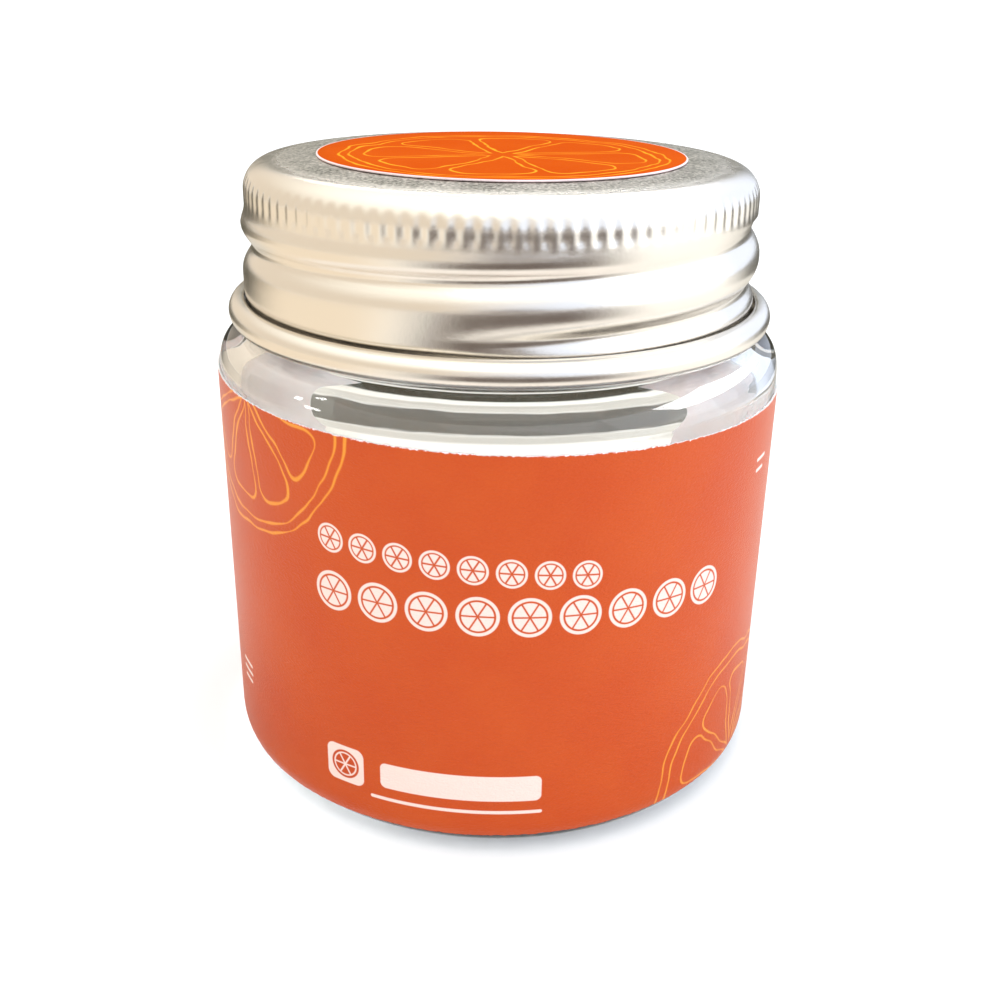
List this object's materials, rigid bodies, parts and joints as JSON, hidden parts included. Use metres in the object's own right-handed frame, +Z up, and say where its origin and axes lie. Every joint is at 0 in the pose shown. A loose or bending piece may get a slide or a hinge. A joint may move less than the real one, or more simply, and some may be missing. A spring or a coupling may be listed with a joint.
{
  "type": "glass jar with screw lid",
  "caption": "Short round clear glass preserve jar closed by a knurled aluminium screw lid, with a citrus paper label wrapped round its wall and a round paper sticker on the lid.",
  "frame": {"origin": "middle of the jar's base, on the surface that it stands on", "axes": "+Z up through the lid, -Y towards the front of the label, +X to the right of it"},
  "size_m": [0.0474, 0.0472, 0.0512],
  "materials": {
    "clear_glass": "clear moulded glass with a faint green edge",
    "lid_aluminium": "satin brushed, lightly lacquered",
    "label_paper": "matt printed paper, orange with thin yellow citrus line drawings",
    "sticker_paper": "smooth printed paper, bright orange with a thin yellow citrus line drawing"
  },
  "bodies": {
    "root": {"glass_jar": "clear_glass", "screw_lid": "lid_aluminium", "wrap_label": "label_paper", "lid_sticker": "sticker_paper"}
  },
  "joints": []
}
